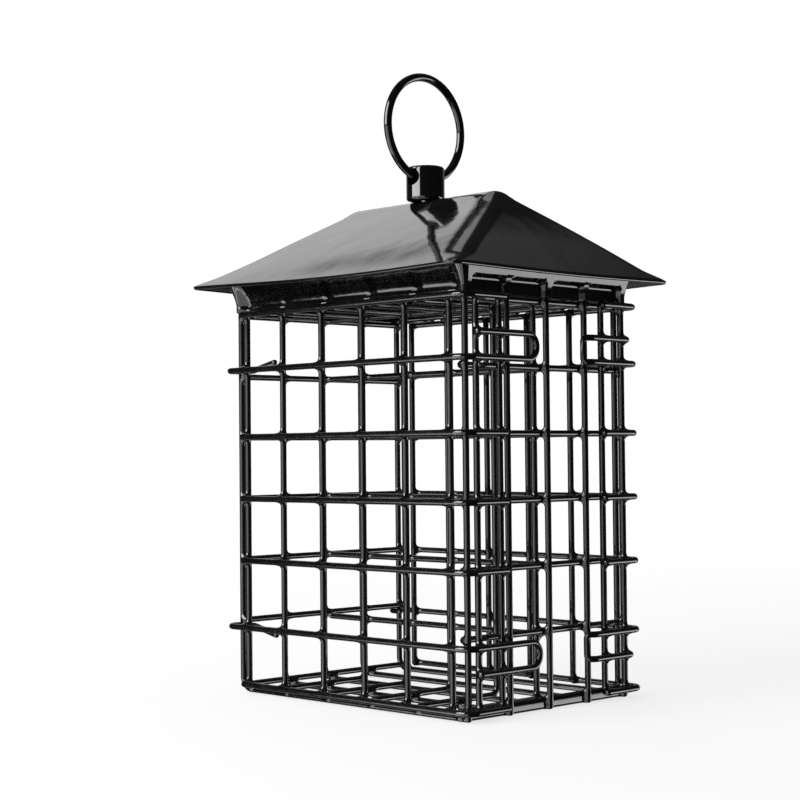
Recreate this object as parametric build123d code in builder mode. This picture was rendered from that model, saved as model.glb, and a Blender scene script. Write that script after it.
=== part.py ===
# Two-cake suet feeder of coated wire under a hipped sheet metal roof.
# Millimetres, +Z up, origin under the middle of the floor, front door towards -Y.

import os
from math import atan2, cos, pi, sin, sqrt, tan

from build123d import *

os.makedirs("parts", exist_ok=True)

# Wire and fits: the welds are left open by a hair so that every wire stays a body of its own
wire_d = 2.2
wire_r = wire_d / 2
weld_gap = 0.02
moving_gap = 0.3
weld_pitch = wire_d + weld_gap
moving_pitch = wire_d + moving_gap
butt_gap = wire_r + weld_gap
half_bend_share = 0.985

# Cage: bent wires make the left side and the floor, straight uprights the right side
frame_count = 5
bay_y = 21.65
cage_half_x = 61.43
floor_bend_r = 5.0
frame_ys = [(i - (frame_count - 1) / 2) * bay_y for i in range(frame_count)]
front_y = frame_ys[0]
back_y = frame_ys[-1]
floor_z = wire_r
floor_edge_z = floor_z + weld_pitch

# Heights of the door and back rows
row_bottom_z = 3.6
latch_low_z = 25.8
mid_row_z = 76.4
mid_row_pitch = 24.3
latch_high_z = 127.1
row_top_z = 149.0
plain_row_zs = [row_bottom_z, mid_row_z - mid_row_pitch, mid_row_z, mid_row_z + mid_row_pitch, row_top_z]

# Side rails inside the uprights, kept clear of the hinge hooks of the door
rail_x = cage_half_x - weld_pitch
rail_half_y = back_y + wire_r
rail_pitch = 24.1
side_top_drop = 0.2
side_top_z = row_top_z - side_top_drop
rail_low_z = latch_low_z + moving_pitch
rail_high_z = latch_high_z - moving_pitch
rail_zs = [rail_low_z, mid_row_z - rail_pitch, mid_row_z, mid_row_z + rail_pitch, rail_high_z, side_top_z]
top_rail_z = side_top_z + weld_pitch
top_rail_y = back_y - weld_pitch
top_rail_half_x = cage_half_x + wire_r

# Divider between the two cakes
divider_count = 5
divider_right_inset = 4.53
divider_left_inset = 26.53
divider_pitch = 24.0
divider_right_x = cage_half_x - divider_right_inset
divider_left_x = divider_left_inset - cage_half_x
divider_y = -weld_pitch
divider_bend_r = 3.0
divider_overhang = 0.6
divider_low_z = 26.9
divider_xs = [divider_left_x + i * divider_pitch for i in range(divider_count - 1)] + [divider_right_x]
cross_wire_zs = [divider_low_z] + rail_zs[1:]
cross_wire_half_x = rail_x - butt_gap

# Columns of the two doors, which are one pressing, turned over for the rear
column_count = 5
column_right_inset = 5.13
column_left_inset = 6.73
hinge_bay = 21.4
column_right_x = cage_half_x - column_right_inset
column_left_x = column_left_inset - cage_half_x
column_pitch = (column_right_x - column_left_x - hinge_bay) / (column_count - 1)
column_xs = [column_right_x - i * column_pitch for i in range(column_count)] + [column_left_x]
flange_inset = 2.8
flange_pitch = 12.0
row_overhang = 1.9
corner_r = 4.7
row_left_x = column_left_x - row_overhang
upright_bottom_z = row_bottom_z - wire_r
upright_height = row_top_z + wire_r - upright_bottom_z

# Layers of a door, as distances from the middle plane, and its flange round the right side
door_y = back_y + moving_pitch
door_row_y = door_y + weld_pitch
door_flange_x = cage_half_x + moving_pitch
door_flange_row_x = door_flange_x + weld_pitch
door_flange_ys = [back_y - flange_inset, back_y - flange_inset - flange_pitch]
row_end_y = door_flange_ys[-1] - row_overhang
loop_end_y = door_flange_ys[0] + row_overhang

# Hinge hooks round the outer left legs and finger loops beside the second uprights
hook_inner_y = back_y - moving_pitch
tail_straight = 4.4
tail_reach = 18.4
tail_rise = 3.0
tail_bend_r = 6.0
loop_height = 9.1
front_loop_y = 10.8
rear_loop_y = 18.2
rear_loop_bend_y = rear_loop_y + weld_pitch
rear_loop_corner_r = 1.6
rear_loop_bend_r = 2.0

# Roof
roof_length = 146.05
roof_width = 120.65
roof_wall = 0.8
eave_corner_r = 5.0
eave_rise = 10.2
eave_z = row_top_z + eave_rise
hem_height = 1.2
hem_wall = 1.2
roof_rise = 33.3
ridge_z = eave_z + roof_rise
ridge_half_x = 40.0
ridge_half_y = 2.0
ridge_corner_r = 1.5

# Pan under the roof, into which the wires are crimped
pan_wall = 0.8
pan_inner_x = cage_half_x + wire_r + weld_gap
pan_inner_y = back_y + wire_r + weld_gap
pan_corner_r = wire_r + weld_gap
pan_bottom_z = top_rail_z
plate_rise = 5.8
plate_z = top_rail_z + plate_rise
leg_top_z = plate_z - weld_gap
cove_start_rise = 4.0
cove_flare_share = 0.344
cove_turn = 75.0
cove_steps = 4
tab_end_gap = 0.9
tab_knee_gap = 0.4
tab_knee_share = 0.75

# Hanger
knob_r = 7.5
knob_height = 13.4
knob_edge_r = 0.8
eye_rise = 9.1
eye_r = 3.3
eye_z = ridge_z + eye_rise
ring_r = 20.25
ring_wire_r = 1.6
screw_r = 2.0
screw_clearance = 0.2
screw_clear_r = screw_r + screw_clearance
screw_top_gap = 0.9
screw_head_r = 3.8
screw_head_h = 2.6
screw_head_edge_r = 1.2
washer_r = 5.0
washer_h = 0.8


def save(builder, name):
    builder.part.label = name
    export_step(builder.part, os.path.join("parts", name + ".step"))


# Bent frame wires: left leg, bend and floor run
for number, y in enumerate(frame_ys, start=1):
    with BuildPart() as frame_wire:
        with BuildLine() as frame_path:
            FilletPolyline(
                (-cage_half_x, y, leg_top_z),
                (-cage_half_x, y, floor_z),
                (rail_x - butt_gap, y, floor_z),
                radius=floor_bend_r,
            )
        with BuildSketch(Plane(origin=frame_path.line @ 0, z_dir=frame_path.line % 0)):
            Circle(wire_r)
        sweep()
    save(frame_wire, "frame_wire_%d" % number)

# Right uprights, which stand down to the floor
with BuildPart() as right_uprights:
    with BuildSketch():
        with Locations([(cage_half_x, y) for y in frame_ys]):
            Circle(wire_r)
    extrude(amount=leg_top_z)
save(right_uprights, "right_uprights")

# Side rails
with BuildPart() as left_side_rails:
    with BuildSketch(Plane.XZ.offset(-rail_half_y)):
        with Locations([(-rail_x, z) for z in rail_zs]):
            Circle(wire_r)
    extrude(amount=2 * rail_half_y)
save(left_side_rails, "left_side_rails")

with BuildPart() as right_side_rails:
    with BuildSketch(Plane.XZ.offset(-rail_half_y)):
        with Locations([(rail_x, z) for z in [floor_z] + rail_zs]):
            Circle(wire_r)
    extrude(amount=2 * rail_half_y)
save(right_side_rails, "right_side_rails")

# Floor edge wires, one along each side on top of the floor runs
with BuildPart() as floor_edge_wires:
    with BuildSketch(Plane.XZ.offset(-rail_half_y)):
        with Locations((floor_bend_r - cage_half_x, floor_edge_z), (rail_x, floor_edge_z)):
            Circle(wire_r)
    extrude(amount=2 * rail_half_y)
save(floor_edge_wires, "floor_edge_wires")

# Top rails, round which the pan is crimped
for name, y in (("top_rail_front", -top_rail_y), ("top_rail_back", top_rail_y)):
    with BuildPart() as top_rail:
        with BuildSketch(Plane.YZ.offset(-top_rail_half_x)):
            with Locations((y, top_rail_z)):
                Circle(wire_r)
        extrude(amount=2 * top_rail_half_x)
    save(top_rail, name)

# Divider: wires bent to a C and the wires across them
with BuildPart() as divider_wires:
    for x in divider_xs:
        with BuildLine() as divider_path:
            FilletPolyline(
                (x, front_y - divider_overhang, side_top_z),
                (x, divider_y, side_top_z),
                (x, divider_y, floor_edge_z),
                (x, front_y - divider_overhang, floor_edge_z),
                radius=divider_bend_r,
            )
        with BuildSketch(Plane(origin=divider_path.line @ 0, z_dir=divider_path.line % 0)):
            Circle(wire_r)
        sweep()
save(divider_wires, "divider_wires")

with BuildPart() as divider_cross_wires:
    with BuildSketch(Plane.YZ.offset(-cross_wire_half_x)):
        with Locations([(0, z) for z in cross_wire_zs]):
            Circle(wire_r)
    extrude(amount=2 * cross_wire_half_x)
save(divider_cross_wires, "divider_cross_wires")

# Uprights, flange uprights and plain rows of the two doors
for name, side in (("front_door", -1), ("rear_door", 1)):
    with BuildPart() as uprights:
        with BuildSketch(Plane.XY.offset(upright_bottom_z)):
            with Locations([(x, side * door_y) for x in column_xs]):
                Circle(wire_r)
        extrude(amount=upright_height)
    save(uprights, name + "_uprights")

    with BuildPart() as flange_uprights:
        with BuildSketch(Plane.XY.offset(upright_bottom_z)):
            with Locations([(door_flange_x, side * y) for y in door_flange_ys]):
                Circle(wire_r)
        extrude(amount=upright_height)
    save(flange_uprights, name + "_flange_uprights")

    with BuildPart() as row_wires:
        for z in plain_row_zs:
            with BuildLine() as row_path:
                FilletPolyline(
                    (row_left_x, side * door_row_y, z),
                    (door_flange_row_x, side * door_row_y, z),
                    (door_flange_row_x, side * row_end_y, z),
                    radius=corner_r,
                )
            with BuildSketch(Plane(origin=row_path.line @ 0, z_dir=row_path.line % 0)):
                Circle(wire_r)
            sweep()
    save(row_wires, name + "_row_wires")

# Latch wires: hinge hook on the left, row, corner and finger loop on the right
hook_half = (door_row_y - hook_inner_y) / 2
hook_bend_r = hook_half * half_bend_share
front_loop_r = loop_height / 2 * half_bend_share
for name, z, lift in (("upper", latch_high_z, 1), ("lower", latch_low_z, -1)):
    second_z = z + lift * loop_height
    with BuildPart() as front_latch_wire:
        with BuildLine() as front_latch_path:
            FilletPolyline(
                (tail_reach - cage_half_x, -hook_inner_y, z + lift * tail_rise),
                (tail_straight - cage_half_x, -hook_inner_y, z),
                (-cage_half_x - hook_half, -hook_inner_y, z),
                (-cage_half_x - hook_half, -door_row_y, z),
                (door_flange_row_x, -door_row_y, z),
                (door_flange_row_x, -front_loop_y, z),
                (door_flange_row_x, -front_loop_y, second_z),
                (door_flange_row_x, -loop_end_y, second_z),
                radius=[tail_bend_r, hook_bend_r, hook_bend_r, corner_r, front_loop_r, front_loop_r],
            )
        with BuildSketch(Plane(origin=front_latch_path.line @ 0, z_dir=front_latch_path.line % 0)):
            Circle(wire_r)
        sweep()
    save(front_latch_wire, "front_door_latch_wire_" + name)

    with BuildPart() as rear_latch_wire:
        with BuildLine() as rear_latch_path:
            FilletPolyline(
                (tail_straight - cage_half_x, hook_inner_y, z),
                (-cage_half_x - hook_half, hook_inner_y, z),
                (-cage_half_x - hook_half, door_row_y, z),
                (door_flange_row_x, door_row_y, z),
                (door_flange_row_x, rear_loop_bend_y, z),
                (door_flange_x, rear_loop_y, z),
                (door_flange_x, rear_loop_y, second_z),
                (door_flange_row_x, rear_loop_bend_y, second_z),
                (door_flange_row_x, loop_end_y, second_z),
                radius=[
                    hook_bend_r,
                    hook_bend_r,
                    corner_r,
                    rear_loop_bend_r,
                    rear_loop_corner_r,
                    rear_loop_corner_r,
                    rear_loop_bend_r,
                ],
            )
        with BuildSketch(Plane(origin=rear_latch_path.line @ 0, z_dir=rear_latch_path.line % 0)):
            Circle(wire_r)
        sweep()
    save(rear_latch_wire, "rear_door_latch_wire_" + name)

# Roof shell: outer and inner sections as height, half length, half width and corner radius
roof_half_x = roof_length / 2
roof_half_y = roof_width / 2
slope_x = atan2(roof_rise, roof_half_x - ridge_half_x)
slope_y = atan2(roof_rise, roof_half_y - ridge_half_y)
wall_x = roof_wall / sin(slope_x)
wall_y = roof_wall / sin(slope_y)
cap_z = ridge_z - roof_wall / cos(slope_y)
outer_sections = [
    (eave_z, roof_half_x, roof_half_y, eave_corner_r),
    (ridge_z, ridge_half_x, ridge_half_y, ridge_corner_r),
]
inner_sections = [
    (eave_z, roof_half_x - wall_x, roof_half_y - wall_y, eave_corner_r - roof_wall),
    (cap_z, ridge_half_x - wall_x / 2, ridge_half_y * half_bend_share, ridge_corner_r),
]

with BuildPart() as roof_shell:
    with BuildSketch(Plane.XY.offset(eave_z - hem_height)):
        RectangleRounded(roof_length, roof_width, eave_corner_r)
        RectangleRounded(
            roof_length - 2 * hem_wall,
            roof_width - 2 * hem_wall,
            eave_corner_r - hem_wall,
            mode=Mode.SUBTRACT,
        )
    extrude(amount=hem_height)
    for z, half_x, half_y, section_r in outer_sections:
        with BuildSketch(Plane.XY.offset(z)):
            RectangleRounded(2 * half_x, 2 * half_y, section_r)
    loft(ruled=True)
    for z, half_x, half_y, section_r in inner_sections:
        with BuildSketch(Plane.XY.offset(z)):
            RectangleRounded(2 * half_x, 2 * half_y, section_r)
    loft(ruled=True, mode=Mode.SUBTRACT)
    with BuildSketch(Plane.XY.offset(cap_z - roof_wall)):
        Circle(screw_clear_r)
    extrude(amount=ridge_z - cap_z + 2 * roof_wall, mode=Mode.SUBTRACT)
save(roof_shell, "roof_shell")

# Pan: a straight skirt that flares out in a cove to the underside of the roof
cove_start_z = pan_bottom_z + cove_start_rise
pan_outer_x = pan_inner_x + pan_wall
pan_outer_y = pan_inner_y + pan_wall
cove_flare_x = (roof_half_x - pan_outer_x) * cove_flare_share
cove_flare_y = (roof_half_y - pan_outer_y) * cove_flare_share
cove_reach = roof_half_y - wall_y - pan_outer_y - cove_flare_y
cove_top_z = eave_z + cove_reach * tan(slope_y) - weld_gap
cove_turn_rad = cove_turn * pi / 180
cove_rise_full = (cove_top_z - cove_start_z) / sin(cove_turn_rad)
cove_share_full = 1 - cos(cove_turn_rad)
pan_outer_sections = [(pan_bottom_z, pan_outer_x, pan_outer_y, pan_corner_r + pan_wall)]
pan_inner_sections = [(pan_bottom_z, pan_inner_x, pan_inner_y, pan_corner_r)]
for step in range(cove_steps + 1):
    turn = cove_turn_rad * step / cove_steps
    share = (1 - cos(turn)) / cove_share_full
    z = cove_start_z + cove_rise_full * sin(turn)
    half_x = pan_outer_x + cove_flare_x * share
    half_y = pan_outer_y + cove_flare_y * share
    section_r = pan_corner_r + pan_wall + cove_flare_x * share
    pan_outer_sections.append((z, half_x, half_y, section_r))
    lift = pan_wall * sin(turn)
    inset = pan_wall * cos(turn)
    pan_inner_sections.append((z + lift, half_x - inset, half_y - inset, section_r - inset))

# Crimp tabs: the skirt's edge turned in under a top rail, left open where the divider wires pass
tab_bottom_z = top_rail_z - wire_r - weld_gap - pan_wall
tab_knee_y = top_rail_y + wire_r + tab_knee_gap
tab_end_y = top_rail_y - wire_r / 2
tab_clear = wire_r + tab_end_gap
tab_profile = [
    (pan_outer_y, pan_bottom_z + pan_wall),
    (pan_outer_y, pan_bottom_z),
    (tab_knee_y + pan_wall * tab_knee_share, tab_bottom_z),
    (tab_end_y, tab_bottom_z),
    (tab_end_y, tab_bottom_z + pan_wall),
    (tab_knee_y, tab_bottom_z + pan_wall),
    (pan_inner_y, pan_bottom_z),
    (pan_inner_y, pan_bottom_z + pan_wall),
]
tab_spans = []
tab_left = tab_clear - rail_x
for x in divider_xs:
    tab_spans.append((tab_left, x - tab_clear))
    tab_left = x + tab_clear

with BuildPart() as roof_pan:
    for z, half_x, half_y, section_r in pan_outer_sections:
        with BuildSketch(Plane.XY.offset(z)):
            RectangleRounded(2 * half_x, 2 * half_y, section_r)
    loft(ruled=True)
    for z, half_x, half_y, section_r in pan_inner_sections:
        with BuildSketch(Plane.XY.offset(z)):
            RectangleRounded(2 * half_x, 2 * half_y, section_r)
    loft(ruled=True, mode=Mode.SUBTRACT)
    with BuildSketch(Plane.XY.offset(plate_z)):
        RectangleRounded(2 * pan_inner_x + pan_wall, 2 * pan_inner_y + pan_wall, pan_corner_r)
        Circle(screw_clear_r, mode=Mode.SUBTRACT)
    extrude(amount=pan_wall)
    for start_x, end_x in tab_spans:
        for side in (-1, 1):
            with BuildSketch(Plane.YZ.offset(start_x)):
                with BuildLine():
                    Polyline([(side * y, z) for y, z in tab_profile], close=True)
                make_face()
            extrude(amount=end_x - start_x)
save(roof_pan, "roof_pan")

# Knob on the ridge, cross-drilled for the ring and bored from below for the screw
knob_z = ridge_z + weld_gap
screw_top_z = eye_z - eye_r - screw_top_gap
with BuildPart() as hanger_knob:
    with BuildSketch(Plane.XY.offset(knob_z)):
        Circle(knob_r)
    extrude(amount=knob_height)
    fillet(hanger_knob.edges().filter_by(GeomType.CIRCLE), knob_edge_r)
    with BuildSketch(Plane.XZ.offset(-knob_r)):
        with Locations((0, eye_z)):
            Circle(eye_r)
    extrude(amount=2 * knob_r, mode=Mode.SUBTRACT)
    with BuildSketch(Plane.XY.offset(knob_z)):
        Circle(screw_r + weld_gap)
    extrude(amount=screw_top_z + weld_gap - knob_z, mode=Mode.SUBTRACT)
save(hanger_knob, "hanger_knob")

# Washer and screw that hold the knob, the roof and the pan together
washer_z = plate_z - weld_gap - washer_h
with BuildPart() as hanger_washer:
    with BuildSketch(Plane.XY.offset(washer_z)):
        Circle(washer_r)
        Circle(screw_clear_r, mode=Mode.SUBTRACT)
    extrude(amount=washer_h)
save(hanger_washer, "hanger_washer")

head_z = washer_z - weld_gap - screw_head_h
with BuildPart() as hanger_screw:
    with BuildSketch(Plane.XY.offset(head_z)):
        Circle(screw_head_r)
    extrude(amount=screw_head_h)
    fillet(hanger_screw.edges().sort_by(Axis.Z)[0], screw_head_edge_r)
    with BuildSketch(Plane.XY.offset(head_z)):
        Circle(screw_r)
    extrude(amount=screw_top_z - head_z)
save(hanger_screw, "hanger_screw")

# Hanging ring, held in the cross hole so that its curve is centred in the hole
ring_sag = ring_r - sqrt(ring_r**2 - knob_r**2)
with BuildPart() as hanging_ring:
    with Locations((0, 0, eye_z + ring_r - ring_sag / 2)):
        Torus(ring_r, ring_wire_r, rotation=(0, 90, 0))
save(hanging_ring, "hanging_ring")
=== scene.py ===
# Looks of the two-cake suet feeder: coated wire cage, pressed roof and pan, knob and hanging ring.
# Metres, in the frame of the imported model, which is loaded first and never moved.

from math import atan2, cos, pi, radians, sin, sqrt

import bmesh
import bpy
import numpy as np
from mathutils import Matrix, Vector


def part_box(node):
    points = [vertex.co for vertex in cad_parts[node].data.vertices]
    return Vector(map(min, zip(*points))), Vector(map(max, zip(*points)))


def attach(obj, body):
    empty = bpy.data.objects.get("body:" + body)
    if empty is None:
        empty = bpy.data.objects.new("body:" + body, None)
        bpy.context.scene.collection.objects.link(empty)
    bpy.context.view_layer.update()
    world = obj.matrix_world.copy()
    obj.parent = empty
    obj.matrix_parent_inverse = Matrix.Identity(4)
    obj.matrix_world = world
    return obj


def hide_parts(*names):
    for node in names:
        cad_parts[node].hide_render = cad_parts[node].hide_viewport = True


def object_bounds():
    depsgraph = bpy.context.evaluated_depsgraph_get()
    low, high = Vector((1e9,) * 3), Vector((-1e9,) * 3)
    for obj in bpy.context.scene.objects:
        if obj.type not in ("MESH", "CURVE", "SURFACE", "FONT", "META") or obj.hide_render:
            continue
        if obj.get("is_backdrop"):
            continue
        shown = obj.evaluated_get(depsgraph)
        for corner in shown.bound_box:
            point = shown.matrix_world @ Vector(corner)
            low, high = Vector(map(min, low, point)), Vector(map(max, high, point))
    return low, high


bl_info = {
    "name": "Suet Feeder",
    "version": (1, 0, 0),
    "blender": (4, 5, 0),
    "location": "View3D > Sidebar > Suet Feeder",
    "description": "Builds the coated wires, roof, pan, knob, ring and stage of a two-cake suet feeder",
    "category": "Add Mesh",
}

MM = 0.001
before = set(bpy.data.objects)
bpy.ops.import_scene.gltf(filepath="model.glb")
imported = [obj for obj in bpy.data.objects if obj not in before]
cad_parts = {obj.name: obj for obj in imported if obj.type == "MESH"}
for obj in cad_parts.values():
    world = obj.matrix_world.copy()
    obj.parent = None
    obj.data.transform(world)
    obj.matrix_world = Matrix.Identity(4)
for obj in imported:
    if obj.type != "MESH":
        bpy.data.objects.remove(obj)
box_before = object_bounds()

# Wires that are welded together: name, body and nodes of each piece
DOORS = ("front_door", "rear_door")
DOOR_WIRES = ("uprights", "flange_uprights", "row_wires", "latch_wire_upper", "latch_wire_lower")
FLOOR_NODES = tuple(f"frame_wire_{i}" for i in range(1, 6)) + ("left_side_rails", "floor_edge_wires")
DIVIDER_NODES = ("divider_wires", "divider_cross_wires", "top_rail_front", "top_rail_back")
WIRE_GROUPS = (
    ("left_side_and_floor_wires", "feeder", FLOOR_NODES),
    ("right_side_wires", "feeder", ("right_uprights", "right_side_rails")),
    ("divider_panel_wires", "feeder", DIVIDER_NODES),
) + tuple((f"{door}_wires", door, tuple(f"{door}_{wires}" for wires in DOOR_WIRES)) for door in DOORS)

# Wires
STRAIGHT = radians(7)  # rings whose wires turn less than this may be left out between welds
END_TURNS = (12, 35, 60)  # degrees at which the rings of a rounded wire end stand
SAME_SPOT = 0.001 * MM  # vertices that are nearer than this are one

# Roof, as shares of its rise: the rings of the outside, close together at the eave and over the ridge
ROOF_SHARES = (0.0, 0.02, 0.04, 0.065, 0.09, 0.115, 0.14) + tuple(i / 18 for i in range(3, 17))
ROOF_SHARES += (0.91, 0.925, 0.94, 0.952, 0.964, 0.974, 0.982, 0.989, 0.9945, 0.998, 1.0)
HIP_SHARE = 0.13  # where the hips have widened from the eave's corners to their own radius
INNER_TOP = 1.5 * MM  # from the ridge down to the flat top of the inside

# Pan
COVE_STEPS = 16
DENT_EDGE = 0.9 * MM  # width over which a pressed field sinks in
SEAM = (1.5 * MM, 0.7 * MM)  # half width of the shallow part of a field over its middle wire, and its edge
SEAM_DEPTH = 0.66 * MM
SEAM_FOOT = 2.4 * MM  # from the top rails up to where that part starts
PINCH = (0.7 * MM, 2.6 * MM)  # half width of the pinch in the bead at a divider wire, and its edge
PINCH_DEPTH = 0.32 * MM
TAPER = (16 * MM, 0.16 * MM)  # length and depth over which the bead thins towards the next pinch
NECK_TURN = radians(55)  # where the bead leaves the cove, as an angle round the rail
BEAD_END = radians(-112)
PINCH_END = radians(-12)
CORNER_BLEND = 4.5 * MM  # length over which the front's shape fades in beside a corner
SKIRT_GAP = 0.82 * MM  # from the outer uprights to the outside of the skirt
DIVIDER_STEPS = (0.0, 19.8 * MM, 43.8 * MM, 67.8 * MM, 91.8 * MM)  # from the last divider wire to each of them
PLATE_RISE = 5.8 * MM  # from the top rails up to the ceiling plate

# Screw and washer
SHANK_RADIUS = 2.0 * MM
HEAD_HEIGHT = 2.6 * MM
HEAD_EDGE = 1.2 * MM
THREAD_POINT = 0.5 * MM
WASHER_BORE = 2.2 * MM
WASHER_EDGE = 0.15 * MM

# The studio
LAMP_TARGET = (0.0, 0.0, 0.1)
CAMERA_PLACE = (0.4824, -0.4875, 0.09385)
CAMERA_WAY = (-0.7141, 0.6993, 0.0302)
CAMERA_ROLL = radians(-0.54)


def amount_property(name, text, default, **more):
    return bpy.props.FloatProperty(name=name, description=text, default=default, min=0, **more)


def length_property(name, text, default):
    return amount_property(name, text, default, precision=5, unit="LENGTH")


def share_property(name, text, default):
    return amount_property(name, text, default, max=1, subtype="FACTOR")


def colour_property(name, text, default):
    return bpy.props.FloatVectorProperty(
        name=name, description=text, default=default, size=3, min=0, max=1, subtype="COLOR"
    )


class FeederCoatSettings(bpy.types.PropertyGroup):
    colour: colour_property("Coat colour", "Colour of the black coat on the wires", (0.0032, 0.0032, 0.0032))
    roughness: share_property("Coat roughness", "Softness of the reflections in the coat", 0.12)
    radius: length_property("Wire radius", "Half the thickness of a coated wire", 1.19 * MM)
    weld_fillet: length_property("Weld fillet", "Reach of the coat that fills the corners where wires cross", 2.4 * MM)
    weld_pitch: length_property("Weld pitch", "Distance of the rings of the mesh near a weld", 0.42 * MM)
    plain_pitch: length_property("Plain pitch", "Distance of the rings of the mesh elsewhere", 6 * MM)
    sides: bpy.props.IntProperty(name="Sides", description="Points round a wire", default=20, min=8, max=48)


class FeederRoofSettings(bpy.types.PropertyGroup):
    colour: colour_property("Roof colour", "Colour of the enamel of roof and pan", (0.0042, 0.0043, 0.0039))
    roughness: share_property("Roof roughness", "Softness of the reflections in the enamel", 0.1)
    wall: length_property("Sheet", "Thickness of the sheet metal", 0.8 * MM)
    corner: length_property("Eave corner", "Radius of the corners of the eave seen from above", 4.2 * MM)
    ridge_half_length: length_property("Ridge half length", "From the middle to the end of the ridge", 40 * MM)
    ridge_half_width: length_property("Ridge half width", "Half the width of the flat before rounding", 2 * MM)
    ridge_round: length_property("Ridge rounding", "Radius over the ridge", 7.4 * MM)
    ridge_end_round: length_property("Ridge end rounding", "Radius over the ends of the ridge", 9 * MM)
    hip: length_property("Hip rounding", "Radius of the hips seen from above", 9 * MM)
    crown: length_property("Crown", "How far the slopes stand proud at half height", 1.3 * MM)
    eave_lift: length_property("Eave lift", "From the lowest edge of the hem to the foot of the slope", 1.2 * MM)
    sag_front: length_property("Front sag", "How far the front eave hangs at its middle", 1.2 * MM)
    curl: length_property("Corner curl", "How far the eave is lifted at its front left corner", 1.5 * MM)
    sag_side: length_property("Side sag", "How far the side eaves hang at their middle", 0.6 * MM)
    hem: length_property("Hem", "Width of the edge that is folded back under the eave", 4 * MM)


class FeederPanSettings(bpy.types.PropertyGroup):
    corner: length_property("Pan corner", "Radius of the upright corners of the skirt", 1.92 * MM)
    dent: length_property("Crimp depth", "How far the sides are pressed in between the uprights", 2.1 * MM)
    dent_top: length_property("Crimp top", "From the top rails up to the upper edge of the pressed fields", 5.7 * MM)
    dent_round: length_property("Crimp rounding", "Radius of the upper corners of the pressed fields", 2.2 * MM)
    strip: length_property("Strip", "Width that is left flat over an upright", 3.4 * MM)
    cove_start: length_property("Cove start", "From the top rails up to where the skirt begins to flare", 1.6 * MM)
    bead: length_property("Bead", "Outer radius of the sheet that is crimped round the top rails", 1.92 * MM)


class FeederHangerSettings(bpy.types.PropertyGroup):
    colour: colour_property("Hanger colour", "Colour of the black plated knob and ring", (0.002, 0.002, 0.0023))
    roughness: share_property("Hanger roughness", "Softness of the reflections in knob and ring", 0.07)
    zinc: colour_property("Zinc colour", "Colour of the screw and the washer", (0.62, 0.63, 0.65))
    knob_edge: length_property("Knob edge", "Rounding of the knob's ends", 1.2 * MM)
    eye_edge: length_property("Eye edge", "Rounding of the rim of the cross hole", 0.3 * MM)
    eye_radius: length_property("Eye radius", "Radius of the cross hole", 3.3 * MM)
    eye_drop: length_property("Eye drop", "From the top of the knob to the middle of the cross hole", 4.32 * MM)


class FeederStageSettings(bpy.types.PropertyGroup):
    floor_colour: colour_property("Floor colour", "Colour of the plain floor", (0.9, 0.9, 0.9))
    floor_size: length_property("Floor size", "Width of the floor", 12.0)
    ground_glow: share_property("Floor glow", "Share of the floor's white that does not come from the lamps", 0.72)
    world_strength: amount_property("World strength", "Strength of the soft light from all round", 0.5)
    key_power: amount_property("Key power", "Power of the soft box in front of the front door", 22, unit="POWER")
    top_power: amount_property("Top power", "Power of the soft box over the back", 4, unit="POWER")
    studio_dark: share_property("Studio dark", "Brightness of the dark studio that the gloss mirrors", 0.012)
    lens: bpy.props.FloatProperty(name="Lens", description="Focal length in millimetres", default=78.84, min=1)


GROUPS = (
    ("coat", FeederCoatSettings),
    ("roof", FeederRoofSettings),
    ("pan", FeederPanSettings),
    ("hanger", FeederHangerSettings),
    ("stage", FeederStageSettings),
)


class FeederSettings(bpy.types.PropertyGroup):
    coat: bpy.props.PointerProperty(name="Coat", description="Coated wires", type=FeederCoatSettings)
    roof: bpy.props.PointerProperty(name="Roof", description="Pressed roof", type=FeederRoofSettings)
    pan: bpy.props.PointerProperty(name="Pan", description="Pan under the roof", type=FeederPanSettings)
    hanger: bpy.props.PointerProperty(name="Hanger", description="Knob, ring, screw", type=FeederHangerSettings)
    stage: bpy.props.PointerProperty(name="Stage", description="Floor, light, camera", type=FeederStageSettings)


# Materials


def add_node(tree, kind, values=(), **settings):
    node = tree.nodes.new(kind)
    for name, value in settings.items():
        setattr(node, name, value)
    for socket, value in values:
        node.inputs[socket].default_value = value
    return node


def noise(tree, coords, scale, detail=3.0, roughness=0.5):
    node = add_node(tree, "ShaderNodeTexNoise", (("Scale", scale), ("Detail", detail), ("Roughness", roughness)))
    tree.links.new(coords.outputs["Object"], node.inputs["Vector"])
    return node.outputs["Fac"]


def between(tree, factor, low, high, start=0.3, end=0.7):
    node = add_node(
        tree,
        "ShaderNodeMapRange",
        (("From Min", start), ("From Max", end), ("To Min", low), ("To Max", high)),
        interpolation_type="SMOOTHSTEP",
    )
    tree.links.new(factor, node.inputs["Value"])
    return node.outputs["Result"]


def bump(tree, height, distance, normal=None):
    node = add_node(tree, "ShaderNodeBump", (("Strength", 1.0), ("Distance", distance)))
    tree.links.new(height, node.inputs["Height"])
    if normal:
        tree.links.new(normal, node.inputs["Normal"])
    return node.outputs["Normal"]


def math_node(tree, operation, *inputs):
    node = add_node(tree, "ShaderNodeMath", operation=operation)
    for i, value in enumerate(inputs):
        if isinstance(value, (int, float)):
            node.inputs[i].default_value = value
        else:
            tree.links.new(value, node.inputs[i])
    return node.outputs[0]


def two_tone(tree, factor, one, other):
    """The first colour, with patches of the other."""
    node = add_node(tree, "ShaderNodeMix", data_type="RGBA")
    node.inputs["A"].default_value = (*one, 1.0)
    node.inputs["B"].default_value = (*other, 1.0)
    tree.links.new(between(tree, factor, 0.0, 1.0), node.inputs["Factor"])
    return node.outputs["Result"]


def new_material(name):
    """A material with nothing but its output, and its tree."""
    material = bpy.data.materials.new(name)
    material.use_nodes = True
    material.node_tree.nodes.clear()
    return material, material.node_tree, add_node(material.node_tree, "ShaderNodeOutputMaterial")


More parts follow.
